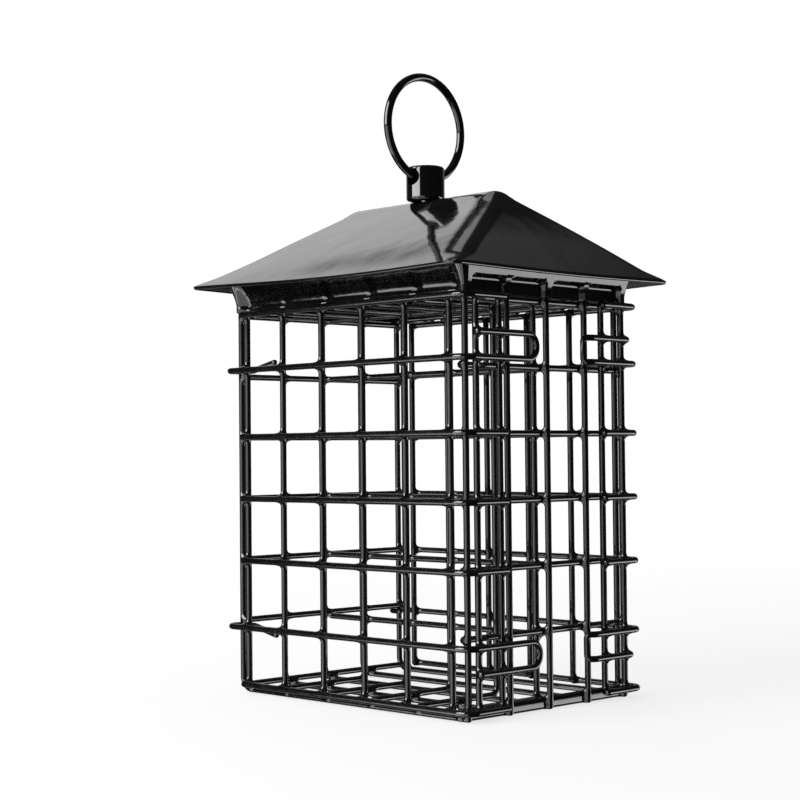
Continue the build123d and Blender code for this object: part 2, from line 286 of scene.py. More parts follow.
def gloss_black(name, settings, peel, waves, coat_roughness):
    """Black stoved coat: deep colour, orange peel, slow waves, faint dust. Peel and waves are (scale, height)."""
    colour, roughness = settings.colour, settings.roughness
    material, tree, out = new_material(name)
    fixed = (("IOR", 1.55), ("Coat Weight", 1.0), ("Coat Roughness", coat_roughness), ("Coat IOR", 1.6))
    shader = add_node(tree, "ShaderNodeBsdfPrincipled", fixed)
    coords = add_node(tree, "ShaderNodeTexCoord")
    patches = noise(tree, coords, 45.0, 4.0)
    shade = two_tone(tree, patches, colour, [c * 1.8 + 0.0008 for c in colour])
    tree.links.new(shade, shader.inputs["Base Color"])
    dust = noise(tree, coords, 320.0, 5.0, 0.7)
    tree.links.new(between(tree, dust, roughness * 0.8, roughness * 1.5), shader.inputs["Roughness"])
    waved = bump(tree, noise(tree, coords, waves[0], 2.0), waves[1])
    peeled = bump(tree, noise(tree, coords, peel[0], 2.0), peel[1], waved)
    tree.links.new(peeled, shader.inputs["Normal"])
    tree.links.new(peeled, shader.inputs["Coat Normal"])
    tree.links.new(shader.outputs["BSDF"], out.inputs["Surface"])
    return material


def zinc_plate(name, colour):
    """Bright zinc plate with fine turning marks and dull patches."""
    material, tree, out = new_material(name)
    shader = add_node(tree, "ShaderNodeBsdfPrincipled", (("Metallic", 1.0),))
    coords = add_node(tree, "ShaderNodeTexCoord")
    patches = noise(tree, coords, 260.0, 4.0)
    shade = two_tone(tree, patches, colour, [c * 0.72 for c in colour])
    tree.links.new(shade, shader.inputs["Base Color"])
    tree.links.new(between(tree, patches, 0.24, 0.42), shader.inputs["Roughness"])
    marks = add_node(
        tree,
        "ShaderNodeTexWave",
        (("Scale", 900.0), ("Distortion", 0.6), ("Detail", 1.0)),
        wave_type="RINGS",
        rings_direction="Z",
    )
    tree.links.new(coords.outputs["Object"], marks.inputs["Vector"])
    tree.links.new(bump(tree, marks.outputs["Fac"], 0.01 * MM), shader.inputs["Normal"])
    tree.links.new(shader.outputs["BSDF"], out.inputs["Surface"])
    return material


# Pieces


def add_object(name, data):
    thing = bpy.data.objects.new(name, data)
    bpy.context.scene.collection.objects.link(thing)
    return thing


def mesh_of(name, bm):
    """Makes the work of bmesh a mesh and frees it."""
    mesh = bpy.data.meshes.new(name)
    bm.to_mesh(mesh)
    bm.free()
    return mesh


def add_piece(name, bm, material, body, replaced, smooth_angle=None):
    """Makes the mesh a piece that rides on a body and stands for the CAD nodes named."""
    piece = add_object(name, mesh_of(name, bm))
    finish_piece(piece, material, body, replaced, smooth_angle)
    return piece


def finish_piece(piece, material, body, replaced, smooth_angle=None, keep_normals=False):
    if not keep_normals:
        piece.data.shade_smooth()
    if smooth_angle:
        piece.data.set_sharp_from_angle(angle=smooth_angle)
    piece.data.materials.clear()
    piece.data.materials.append(material)
    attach(piece, body)
    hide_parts(*replaced)


def apply_modifiers(piece):
    """Puts what the modifiers make into the mesh."""
    graph = bpy.context.evaluated_depsgraph_get()
    made = bpy.data.meshes.new_from_object(piece.evaluated_get(graph))
    old = piece.data
    piece.modifiers.clear()
    piece.data = made
    made.name = piece.name
    bpy.data.meshes.remove(old)


def in_order(verts):
    """The vertices of a set in the order of their mesh, so that every run of the script gives the same result."""
    return sorted(verts, key=lambda v: v.index)


def flat_ends(bm):
    """The vertices round each flat end of the wires in a mesh of triangles, in the order of the mesh."""
    seen = set()
    for face in bm.faces:
        if face in seen:
            continue
        seen.add(face)
        flat = [face]
        for one in flat:
            for edge in one.edges:
                for other in edge.link_faces:
                    if other not in seen and other.normal.dot(face.normal) > 0.999999:
                        seen.add(other)
                        flat.append(other)
        ring = in_order({v for one in flat for v in one.verts})
        middle = sum((v.co for v in ring), Vector()) / len(ring)
        far = [(v.co - middle).length for v in ring]
        if len(flat) > 20 and max(far) - min(far) < 0.02 * MM:
            yield ring


def middle_lines(node):
    """Middle lines of a node's wires, as points with directions, read from the rings of its CAD mesh."""
    bm = bmesh.new()
    bm.from_mesh(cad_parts[node].data)
    bmesh.ops.remove_doubles(bm, verts=bm.verts, dist=SAME_SPOT)
    bm.verts.index_update()
    bm.normal_update()
    lines = []
    seen = set()
    for ring in list(flat_ends(bm)):
        if seen.intersection(ring):
            continue
        points = []
        ways = []
        while ring:
            seen.update(ring)
            middle = sum((v.co for v in ring), Vector()) / len(ring)
            first = ring[0].co - middle
            way = max(((v.co - middle).cross(first) for v in ring), key=lambda w: w.length).normalized()
            points.append(middle)
            ways.append(way)
            ring = in_order({e.other_vert(v) for v in ring for e in v.link_edges} - seen)
        for i, way in enumerate(ways):
            ahead = points[min(i + 1, len(points) - 1)] - points[max(i - 1, 0)]
            if way.dot(ahead) < 0:
                way.negate()
        lines.append((points, ways))
    bm.free()
    return lines


def close_points(line, pitch, trim):
    """Points at an even pitch along a middle line, whose ends are drawn in for the rounding of the wire's ends."""
    points, ways = line
    points = [p.copy() for p in points]
    points[0] += ways[0] * trim
    points[-1] -= ways[-1] * trim
    spots = []
    for i in range(len(points) - 1):
        length = (points[i + 1] - points[i]).length
        count = max(int(round(length / pitch)), 1)
        for k in range(count + (i == len(points) - 2)):
            t = k / count
            a = points[i] + ways[i] * length * t
            b = points[i + 1] - ways[i + 1] * length * (1 - t)
            blend = t * t * (3 - 2 * t)
            spots.append((a.lerp(b, blend), ways[i].lerp(ways[i + 1], t).normalized()))
    return spots


def away_from(points, starts, ends):
    """For each point the distance to the nearest of these straight runs, and the way from there to the point."""
    run = ends - starts
    square = np.maximum(np.einsum("mk,mk->m", run, run), 1e-18)
    along = np.einsum("pmk,mk->pm", points[:, None, :] - starts[None], run) / square
    foot = starts[None] + np.clip(along, 0, 1)[..., None] * run[None]
    gap = points[:, None, :] - foot
    far = np.linalg.norm(gap, axis=2)
    best = far.argmin(axis=1)
    rows = np.arange(len(points))
    return far[rows, best], gap[rows, best] / np.maximum(far[rows, best], 1e-12)[:, None]


class WireRun:
    """One wire: where the rings of its skin go, and the straight runs of its middle line."""

    def __init__(self, line, settings):
        self.spots = close_points(line, settings.weld_pitch, settings.radius)
        self.places = np.array([spot for spot, _ in self.spots])
        points, ways = line
        ends = []
        for i in range(len(points) - 1):
            a = points[i] + ways[i] * (settings.radius if i == 0 else 0.0)
            b = points[i + 1] - ways[i + 1] * (settings.radius if i == len(points) - 2 else 0.0)
            if ways[i].angle(ways[i + 1]) > radians(2):
                length = (b - a).length
                middle = (a + b) / 2 + (ways[i] - ways[i + 1]) * length / 8
                ends += [(a, middle), (middle, b)]
            else:
                ends.append((a, b))
        self.starts = np.array([a for a, _ in ends])
        self.ends = np.array([b for _, b in ends])
        self.low = self.places.min(axis=0)
        self.high = self.places.max(axis=0)

    def thin_out(self, starts, ends, settings):
        """Drops the rings that stand far from any weld, except in bends."""
        reach = 2 * settings.radius + settings.weld_fillet
        far = away_from(self.places, starts, ends)[0] if len(starts) else np.full(len(self.places), 1.0)
        kept = []
        for i, (spot, way) in enumerate(self.spots):
            last = i in (0, len(self.spots) - 1)
            if kept and not last and min(far[i - 1], far[i], far[i + 1]) > reach:
                before, before_way = self.spots[kept[-1]]
                if way.angle(before_way) < STRAIGHT and (spot - before).length < settings.plain_pitch:
                    continue
            kept.append(i)
        self.spots = [self.spots[i] for i in kept]


def runs_near(run, others, reach):
    """The straight runs of other wires that come near this wire."""
    starts = np.concatenate([o.starts for o in others])
    ends = np.concatenate([o.ends for o in others])
    low = np.minimum(starts, ends) - reach
    high = np.maximum(starts, ends) + reach
    close = np.all(low < run.high, axis=1) & np.all(high > run.low, axis=1)
    return starts[close], ends[close]


def weld_skin(seeds, ways, starts, ends, settings):
    """Where rays from the middle of a wire leave the coat over it and its neighbours, and the normals there."""
    r = settings.radius
    k = settings.weld_fillet
    reach = np.full(len(seeds), r)
    normals = ways.copy()
    if not len(starts):
        return seeds + ways * r, normals
    theirs, _ = away_from(seeds + ways * r, starts, ends)
    busy = np.nonzero(theirs - r < k)[0]
    rays = ways[busy]
    out = reach[busy]
    for _ in range(8):
        theirs, theirs_way = away_from(seeds[busy] + rays * out[:, None], starts, ends)
        mine = out - r
        theirs = theirs - r
        share = np.clip(k - np.abs(mine - theirs), 0, None)
        value = np.minimum(mine, theirs) - share**2 / (4 * k)
        out = np.clip(out - value, r * 0.97, r + k * 0.3)
    lesser = (share / (2 * k))[:, None]
    first = (mine <= theirs)[:, None]
    normal = np.where(first, rays, theirs_way) * (1 - lesser) + np.where(first, theirs_way, rays) * lesser
    reach[busy] = out
    normals[busy] = normal / np.maximum(np.linalg.norm(normal, axis=1), 1e-12)[:, None]
    return seeds + ways * reach[:, None], normals


def wire_tube(run, starts, ends, settings):
    """The closed skin of one wire, ring by ring from one rounded end to the other."""
    sides = settings.sides
    spots = run.spots
    across = spots[0][1].orthogonal().normalized()
    rings = [(*spots[0], -cos(radians(turn)), sin(radians(turn))) for turn in END_TURNS]
    rings += [(spot, way, 0.0, 1.0) for spot, way in spots]
    rings += [(*spots[-1], cos(radians(turn)), sin(radians(turn))) for turn in reversed(END_TURNS)]
    seeds = []
    ways = []
    for spot, way, lean, width in rings:
        across = (across - way * across.dot(way)).normalized()
        up = way.cross(across)
        for side in range(sides):
            turn = 2 * pi * side / sides
            seeds.append(spot)
            ways.append((across * cos(turn) + up * sin(turn)) * width + way * lean)
    seeds = np.array(seeds)
    ways = np.array(ways)
    places, normals = weld_skin(seeds, ways, starts, ends, settings)
    places[:, 2] = np.maximum(places[:, 2], box_before[0][2])

    bm = bmesh.new()
    number = bm.verts.layers.int.new("number")
    made = bmesh.ops.create_circle(bm, cap_ends=True, segments=sides, radius=settings.radius)["verts"]
    for side, v in enumerate(made):
        v[number] = side
        v.co = places[side]
    edges = bm.edges[:]
    for ring in range(1, len(rings)):

        def move(v, ring=ring):
            v[number] += sides
            return Vector(places[v[number]])

        edges = next_ring(bm, edges, move)
    bmesh.ops.edgeloop_fill(bm, edges=edges)
    bmesh.ops.recalc_face_normals(bm, faces=bm.faces[:])
    order = [v[number] for v in bm.verts]
    bm.verts.layers.int.remove(number)
    return bm, normals[order]


def coated_wires(name, runs, neighbours, settings):
    """The wires of a piece under one coat, which fills the corners where they cross each other or a neighbour."""
    whole = bmesh.new()
    normals = []
    for run in runs:
        others = [o for o in neighbours if o is not run]
        starts, ends = runs_near(run, others, 2 * settings.radius + settings.weld_fillet)
        run.thin_out(starts, ends, settings)
        bm, outward = wire_tube(run, starts, ends, settings)
        mesh = mesh_of("wire", bm)
        whole.from_mesh(mesh)
        bpy.data.meshes.remove(mesh)
        normals.append(outward)
    mesh = mesh_of(name, whole)
    mesh.shade_smooth()
    mesh.normals_split_custom_set_from_vertices(np.concatenate(normals).tolist())
    return add_object(name, mesh)


class FEEDER_OT_wires(bpy.types.Operator):
    """Makes the coated wires of the cage, the divider and both doors"""

    bl_idname = "feeder.wires"
    bl_label = "Coated wires"

    def execute(self, context):
        settings = context.scene.feeder.coat
        material = gloss_black("black_coated_wire", settings, (700.0, 0.003 * MM), (110.0, 0.05 * MM), 0.04)
        bodies = {}
        groups = []
        for name, body, nodes in WIRE_GROUPS:
            runs = [WireRun(line, settings) for node in nodes for line in middle_lines(node)]
            bodies.setdefault(body, []).extend(runs)
            groups.append((name, body, nodes, runs))
        for name, body, nodes, runs in groups:
            piece = coated_wires(name, runs, bodies[body], settings)
            finish_piece(piece, material, body, nodes, keep_normals=True)
        return {"FINISHED"}


def start_ring(bm, half_x, half_y, corner, steps, pitch):
    """A rounded rectangle of edges in the plane z = 0, whose vertices remember their place and their way out."""
    bmesh.ops.create_grid(bm, x_segments=1, y_segments=1, size=1.0)
    bmesh.ops.scale(bm, vec=(half_x, half_y, 1.0), verts=bm.verts)
    bmesh.ops.bevel(
        bm,
        geom=bm.verts[:],
        offset=corner,
        offset_type="OFFSET",
        segments=steps,
        profile=0.5,
        affect="VERTICES",
        material=-1,
    )
    bmesh.ops.delete(bm, geom=bm.faces[:], context="FACES_ONLY")
    for half in (half_x, half_y):
        sides = [e for e in bm.edges if abs(e.calc_length() - 2 * (half - corner)) < corner * 0.01]
        bmesh.ops.subdivide_edges(bm, edges=sides, cuts=int(2 * half / pitch))
    place = bm.verts.layers.float_vector.new("place")
    outward = bm.verts.layers.float_vector.new("outward")
    for v in bm.verts:
        core_x = min(max(v.co.x, corner - half_x), half_x - corner)
        core_y = min(max(v.co.y, corner - half_y), half_y - corner)
        way = Vector((v.co.x - core_x, v.co.y - core_y, 0.0))
        v[place] = v.co
        v[outward] = way.normalized()
    return bm.edges[:], place, outward


def next_ring(bm, edges, move):
    """Extrudes the ring and puts each new vertex where move says."""
    made = bmesh.ops.extrude_edge_only(bm, edges=edges)["geom"]
    verts = {g for g in made if isinstance(g, bmesh.types.BMVert)}
    for v in verts:
        v.co = move(v)
    return [g for g in made if isinstance(g, bmesh.types.BMEdge) and g.verts[0] in verts and g.verts[1] in verts]


def smoothstep(value):
    value = min(max(value, 0.0), 1.0)
    return value * value * (3 - 2 * value)


class FEEDER_OT_roof(bpy.types.Operator):
    """Makes the hipped roof with its rounded ridge, crowned slopes and hemmed eave"""

    bl_idname = "feeder.roof"
    bl_label = "Roof"

    def execute(self, context):
        settings = context.scene.feeder.roof
        low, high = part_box("roof_shell")
        half_x = high.x
        half_y = high.y
        eave = low.z + settings.eave_lift
        ridge = high.z
        rise = ridge - eave
        run_x = half_x - settings.ridge_half_length
        run_y = half_y - settings.ridge_half_width

        def slope_point(share):
            """Half length and half width of the roof at a share of the rise, with crown and rounded ridge."""
            crown = settings.crown * 4 * share * (1 - share)
            x = half_x - run_x * share + crown * rise / sqrt(run_x**2 + rise**2)
            y = half_y - run_y * share + crown * rise / sqrt(run_y**2 + rise**2)
            return x, y

        def rounded_top(depth, half, run, radius):
            """Half extent of the roof this far below the ridge, or a large one where the rounding has ended."""
            angle = atan2(rise, run)
            reach = radius * (1 - cos(angle))
            if depth >= reach:
                return 1.0
            depth = max(depth, 0.0)
            return half + reach / (rise / run) - radius * sin(angle) + sqrt(2 * radius * depth - depth**2)

        def hip_radius(share, x, y):
            grown = settings.corner + (settings.hip - settings.corner) * smoothstep(share / HIP_SHARE)
            return min(grown, x - 0.02 * MM, y - 0.02 * MM)

        outer = []
        for share in ROOF_SHARES:
            x, y = slope_point(share)
            depth = (1 - share) * rise
            x = min(x, rounded_top(depth, settings.ridge_half_length, run_x, settings.ridge_end_round))
            y = min(y, rounded_top(depth, settings.ridge_half_width, run_y, settings.ridge_round))
            y = max(y, 0.04 * MM)
            outer.append((eave + rise * share, x, y, hip_radius(share, x, y)))
        wall_x = settings.wall * sqrt(run_x**2 + rise**2) / rise
        wall_y = settings.wall * sqrt(run_y**2 + rise**2) / rise
        hem_r = settings.wall * 0.75
        hem_z = low.z + hem_r
        bead = []
        for step in range(9):
            turn = pi * step / 8
            inset = hem_r * (1 - cos(turn))
            bead.append((hem_z - hem_r * sin(turn), half_x - inset, half_y - inset, settings.corner - inset))
        hem_share = settings.hem / run_y
        fold = []
        for share in (0.0, hem_share * 0.5, hem_share * 0.94):
            x, y = slope_point(share)
            r = hip_radius(share, x, y) - wall_y * 1.2
            fold.append((eave + rise * share - 0.1 * MM, x - wall_x * 1.9, y - wall_y * 1.9, r))
        x, y = slope_point(hem_share)
        r = hip_radius(hem_share, x, y) - wall_y
        fold.append((eave + rise * hem_share, x - wall_x * 1.5, y - wall_y * 1.5, r))
        inner = []
        for share in [hem_share * 1.02] + [i / 12 for i in range(2, 12)]:
            x, y = slope_point(share)
            x = max(x - wall_x, 0.0)
            y = max(y - wall_y, 0.4 * MM)
            inner.append((eave + rise * share, x, y, max(hip_radius(share, x, y) - wall_y * 0.6, 0.02 * MM)))
        inner = [s for s in inner if s[0] < ridge - INNER_TOP]
        sections = list(reversed(outer)) + bead + fold + inner

        bm = bmesh.new()
        corner = settings.corner
        edges, place, outward = start_ring(bm, half_x, half_y, corner, 14, 2.0 * MM)
        first = bm.verts[:]

        def section_move(section):
            z, x, y, r = section

            def move(v):
                base, way = v[place], v[outward]
                across = (base.x - way.x * corner) * (x - r) / (half_x - corner) + way.x * r
                along = (base.y - way.y * corner) * (y - r) / (half_y - corner) + way.y * r
                return Vector((across, along, z))

            return move

        start = section_move(sections[0])
        for v in first:
            v.co = start(v)
        bmesh.ops.edgeloop_fill(bm, edges=edges)
        for section in sections[1:]:
            edges = next_ring(bm, edges, section_move(section))
        bmesh.ops.edgeloop_fill(bm, edges=edges)
        for v in bm.verts:
            near = smoothstep(1 - (v.co.z - low.z) / (0.45 * rise))
            side_x = 1 - min(abs(v.co.x) / half_x, 1) ** 2
            side_y = 1 - min(abs(v.co.y) / half_y, 1) ** 2
            front = settings.sag_front * side_x**1.5 * smoothstep((abs(v.co.y) / half_y - 0.5) * 2.2)
            side = settings.sag_side * side_y**1.5 * smoothstep((abs(v.co.x) / half_x - 0.5) * 2.2)
            curl = settings.curl * smoothstep((-v.co.x / half_x - v.co.y / half_y) / 2 - 0.05)
            v.co.z += near * (curl - front - side)
        bmesh.ops.recalc_face_normals(bm, faces=bm.faces[:])
        material = gloss_black("black_enamel_roof", settings, (520.0, 0.010 * MM), (38.0, 0.28 * MM), 0.05)
        add_piece("roof_skin", bm, material, "feeder", ["roof_shell"], radians(50))
        return {"FINISHED"}


class FEEDER_OT_pan(bpy.types.Operator):
    """Makes the pan under the roof: coved skirt, fields pressed in between the wires, ceiling plate"""

    bl_idname = "feeder.pan"
    bl_label = "Pan"

    def execute(self, context):
        settings = context.scene.feeder.pan
        roof = context.scene.feeder.roof
        wall = roof.wall
        low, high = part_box("roof_pan")
        rail_low, rail_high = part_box("top_rail_front")
        rail_z = (rail_low.z + rail_high.z) / 2
        legs_low, legs_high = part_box("right_uprights")
        skirt_x = legs_high.x + SKIRT_GAP
        skirt_y = legs_high.y + SKIRT_GAP
        rail_in = skirt_y - (abs(rail_low.y) + abs(rail_high.y)) / 2
        pitch_y = (legs_high.y - legs_low.y - (rail_high.z - rail_low.z)) / 4
        divider_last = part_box("divider_wires")[1].x - (rail_high.z - rail_low.z) / 2
        divider_xs = [divider_last - step for step in DIVIDER_STEPS]

        def side_profile(along):
            """The side at this place from front to back: insets and heights from the cove's top down to the edge."""
            foot = rail_z + settings.cove_start
            points = []
            for i in range(COVE_STEPS + 1):
                share = 1 - i / COVE_STEPS
                points.append(((skirt_x - high.x) * share**1.5, foot + (high.z - foot) * share))
            bottom = rail_z - 0.5 * MM
            for i in range(1, COVE_STEPS + 7):
                points.append((0.0, foot + (bottom - foot) * i / (COVE_STEPS + 6)))
            pressed = []
            for inset, z in points:
                push = 0.0
                for middle, half in ((-pitch_y, pitch_y), (pitch_y, pitch_y)):
                    width = half - settings.strip / 2
                    out_y = abs(along - middle) - width + settings.dent_round
                    out_z = z - rail_z - settings.dent_top + settings.dent_round
                    outside = sqrt(max(out_y, 0.0) ** 2 + max(out_z, 0.0) ** 2) + min(max(out_y, out_z), 0.0)
                    push = max(push, settings.dent * smoothstep((settings.dent_round - outside) / DENT_EDGE))
                gap = min(abs(along - m) for m in (-pitch_y, pitch_y))
                if z - rail_z < SEAM_FOOT:
                    push *= smoothstep((gap - settings.strip * 0.45) / SEAM[1])
                else:
                    full = smoothstep((gap - SEAM[0]) / SEAM[1])
                    push = min(push, SEAM_DEPTH) * (1 - full) + push * full
                pressed.append((inset * (1 - push / settings.dent) + push, z))
            return pressed

        def front_profile(along):
            """The front or back at this place: one deep cove into a neck, then the bead round the rail."""
            gap = min([abs(along - m) for m in divider_xs])
            pinch = 1 - smoothstep((gap - PINCH[0]) / PINCH[1])
            ahead = min([m - along for m in divider_xs if m > along] + [skirt_x - abs(along)])
            taper = smoothstep(ahead / TAPER[0])
            radius = settings.bead - PINCH_DEPTH * pinch - TAPER[1] * (1 - taper)
            neck_z = rail_z + radius * sin(NECK_TURN)
            neck_in = rail_in - radius * cos(NECK_TURN)
            points = []
            for i in range(COVE_STEPS + 1):
                share = 1 - i / COVE_STEPS
                inset = neck_in + (skirt_y - high.y - neck_in) * share**1.5
                points.append((inset, neck_z + (high.z - neck_z) * share))
            last_turn = BEAD_END * (1 - pinch) + PINCH_END * pinch
            for i in range(1, COVE_STEPS + 7):
                turn = NECK_TURN + (last_turn - NECK_TURN) * i / (COVE_STEPS + 6)
                points.append((rail_in - radius * cos(turn), rail_z + radius * sin(turn)))
            return points

        def profile(base, way):
            side = side_profile(base.y)
            if abs(way.y) < 0.001:
                return side
            turned = 1 - abs(way.y) + (skirt_y - high.y) / (skirt_x - high.x) * abs(way.y)
            plain = [(inset * turned, z) for inset, z in side_profile(skirt_y)]
            if abs(way.x) > 0.001:
                return plain
            share = smoothstep((skirt_x - settings.corner - abs(base.x)) / CORNER_BLEND)
            front = front_profile(base.x)
            rest = 1 - share
            return [(a * rest + c * share, b * rest + d * share) for (a, b), (c, d) in zip(plain, front)]

        bm = bmesh.new()
        edges, place, outward = start_ring(bm, skirt_x, skirt_y, settings.corner, 6, 0.6 * MM)
        number = bm.verts.layers.int.new("number")
        shapes = []
        for v in bm.verts:
            v[number] = len(shapes)
            outer = profile(v[place], v[outward])
            inner = []
            for i, (inset, z) in enumerate(outer):
                before, after = outer[max(i - 1, 0)], outer[min(i + 1, len(outer) - 1)]
                step_in, step_z = after[0] - before[0], after[1] - before[1]
                length = sqrt(step_in**2 + step_z**2)
                inner.append((inset - step_z / length * wall, z + step_in / length * wall))
            lip = Vector(outer[-1])
            middle = (lip + Vector(inner[-1])) / 2 + (lip - Vector(outer[-2])).normalized() * wall * 0.4
            shapes.append(outer + [tuple(middle)] + list(reversed(inner)))

        def ring_move(i):
            def move(v):
                base, way = v[place], v[outward]
                inset, z = shapes[v[number]][i]
                return Vector((base.x - way.x * inset, base.y - way.y * inset, min(z, high.z)))

            return move

        start = ring_move(0)
        for v in bm.verts[:]:
            v.co = start(v)
        first = edges
        for i in range(1, len(shapes[0])):
            edges = next_ring(bm, edges, ring_move(i))
        bmesh.ops.bridge_loops(bm, edges=first + edges)
        bmesh.ops.recalc_face_normals(bm, faces=bm.faces[:])

        plate = bmesh.new()
        inset = wall * 1.1
        plate_edges, _, _ = start_ring(plate, skirt_x - inset, skirt_y - inset, settings.corner * 0.6, 4, 6 * MM)
        bmesh.ops.edgeloop_fill(plate, edges=plate_edges)
        bmesh.ops.translate(plate, vec=(0, 0, rail_z + PLATE_RISE), verts=plate.verts)
        bead = bmesh.ops.inset_region(plate, faces=plate.faces[:], thickness=6 * MM, depth=0.0)
        middle = [f for f in plate.faces if f not in bead["faces"]]
        bmesh.ops.inset_region(plate, faces=middle, thickness=1.2 * MM, depth=0.0)
        grown = bmesh.ops.extrude_face_region(plate, geom=plate.faces[:])
        bmesh.ops.translate(
            plate, vec=(0, 0, wall), verts=[g for g in grown["geom"] if isinstance(g, bmesh.types.BMVert)]
        )
        bmesh.ops.recalc_face_normals(plate, faces=plate.faces[:])
        mesh = mesh_of("plate", plate)
        bm.from_mesh(mesh)
        bpy.data.meshes.remove(mesh)
        material = gloss_black("black_enamel_pan", roof, (520.0, 0.004 * MM), (90.0, 0.07 * MM), 0.05)
        add_piece("roof_pan_skin", bm, material, "feeder", ["roof_pan"], radians(50))
        return {"FINISHED"}


def close_spin(bm, axis, steps):
    """Spins all there is right round an axis through the origin."""
    geom = bm.verts[:] + bm.edges[:]
    bmesh.ops.spin(bm, geom=geom, cent=(0, 0, 0), axis=axis, angle=2 * pi, steps=steps, use_merge=True)
    bmesh.ops.remove_doubles(bm, verts=bm.verts, dist=SAME_SPOT)
    bmesh.ops.recalc_face_normals(bm, faces=bm.faces[:])


def spun(profile, steps):
    """A closed solid of revolution about Z from points of radius and height."""
    bm = bmesh.new()
    verts = [bm.verts.new((r, 0.0, z)) for r, z in profile]
    for a, b in zip(verts, verts[1:]):
        bm.edges.new((a, b))
    close_spin(bm, (0, 0, 1), steps)
    return bm


def rounded(r, z, edge, inward_z, steps=6):
    """Points round the edge of a turned end: inward_z is 1 at a lower end and -1 at an upper end."""
    centre_r = r - edge
    centre_z = z + inward_z * edge
    points = []
    for step in range(steps + 1):
        turn = pi / 2 * step / steps
        points.append((centre_r + edge * sin(turn), centre_z - inward_z * edge * cos(turn)))
    return points


def round_normals(mesh, radius):
    """Lets the turned wall of the knob shade as a true cylinder, also round the hole."""
    normals = [Vector(corner.vector) for corner in mesh.corner_normals]
    for face in mesh.polygons:
        spots = [mesh.vertices[v].co for v in face.vertices]
        if all(abs(sqrt(spot.x**2 + spot.y**2) - radius) < 0.005 * MM for spot in spots):
            for loop, spot in zip(face.loop_indices, spots):
                normals[loop] = Vector((spot.x, spot.y, 0.0)).normalized()
    mesh.normals_split_custom_set([tuple(n) for n in normals])


class FEEDER_OT_hanger(bpy.types.Operator):
    """Makes the cross-drilled knob, the hanging ring, the screw and its washer"""

    bl_idname = "feeder.hanger"
    bl_label = "Knob, ring and screw"

    def execute(self, context):
        settings = context.scene.feeder.hanger
        material = gloss_black("black_plated_hanger", settings, (700.0, 0.004 * MM), (120.0, 0.02 * MM), 0.03)
        zinc = zinc_plate("zinc_plated_steel", settings.zinc)

        low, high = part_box("hanger_knob")
        lower = rounded(high.x, low.z, settings.knob_edge, 1)
        upper = list(reversed(rounded(high.x, high.z, settings.knob_edge, -1)))
        bm = spun([(0.0, low.z)] + lower + upper + [(0.0, high.z)], 160)
        knob = add_piece("knob", bm, material, "feeder", ["hanger_knob"])
        bm = bmesh.new()
        bmesh.ops.create_cone(
            bm,
            cap_ends=True,
            segments=64,
            radius1=settings.eye_radius,
            radius2=settings.eye_radius,
            depth=4 * high.x,
            matrix=Matrix.Translation((0, 0, high.z - settings.eye_drop)) @ Matrix.Rotation(pi / 2, 4, "X"),
        )
        cutter_mesh = mesh_of("cutter", bm)
        cutter = add_object("cutter", cutter_mesh)
        drill = knob.modifiers.new("drill", "BOOLEAN")
        drill.operation = "DIFFERENCE"
        drill.solver = "EXACT"
        drill.object = cutter
        edge = knob.modifiers.new("edge", "BEVEL")
        edge.width = settings.eye_edge
        edge.segments = 3
        edge.limit_method = "ANGLE"
        edge.angle_limit = radians(40)
        apply_modifiers(knob)
        bpy.data.objects.remove(cutter)
        bpy.data.meshes.remove(cutter_mesh)
        knob.data.shade_smooth()
        knob.data.set_sharp_from_angle(angle=radians(50))
        round_normals(knob.data, high.x)

        low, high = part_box("hanging_ring")
        wire = (high.x - low.x) / 2
        mean = (high.z - low.z) / 2 - wire
        bm = bmesh.new()
        bmesh.ops.create_circle(bm, segments=28, radius=wire, matrix=Matrix.Translation((0, mean, 0)))
        close_spin(bm, (1, 0, 0), 144)
        bmesh.ops.translate(bm, vec=(low + high) / 2, verts=bm.verts)
        add_piece("ring", bm, material, "ring", ["hanging_ring"])

        low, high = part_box("hanger_screw")
        profile = [(0.0, low.z)] + rounded(high.x, low.z, HEAD_EDGE, 1) + [(high.x, low.z + HEAD_HEIGHT * 0.97)]
        profile += [(high.x - 0.1 * MM, low.z + HEAD_HEIGHT), (SHANK_RADIUS, low.z + HEAD_HEIGHT)]
        profile += [(SHANK_RADIUS, high.z - THREAD_POINT), (SHANK_RADIUS - THREAD_POINT, high.z), (0.0, high.z)]
        add_piece("screw", spun(profile, 64), zinc, "feeder", ["hanger_screw"], radians(35))
        low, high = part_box("hanger_washer")
        rim = high.x - WASHER_EDGE
        profile = [(WASHER_BORE, low.z), (rim, low.z), (high.x, low.z + WASHER_EDGE), (high.x, high.z - WASHER_EDGE)]
        profile += [(rim, high.z), (WASHER_BORE, high.z), (WASHER_BORE, low.z)]
        add_piece("washer", spun(profile, 64), zinc, "feeder", ["hanger_washer"], radians(35))
        return {"FINISHED"}


def soft_box(name, place, target, width, height, power):
    light = bpy.data.lights.new(name, "AREA")
    light.shape = "RECTANGLE"
    light.size = width
    light.size_y = height
    light.energy = power
    lamp = add_object(name, light)
    lamp.location = place
    lamp.rotation_euler = (Vector(target) - Vector(place)).to_track_quat("-Z", "Y").to_euler()
    lamp.visible_glossy = False


def shown_rays(tree):
    """1 for the rays that see the background: from the camera, by reflection and through glass."""
    path = add_node(tree, "ShaderNodeLightPath").outputs
    first = math_node(tree, "MAXIMUM", path["Is Camera Ray"], path["Is Glossy Ray"])
    return math_node(tree, "MAXIMUM", first, path["Is Transmission Ray"])


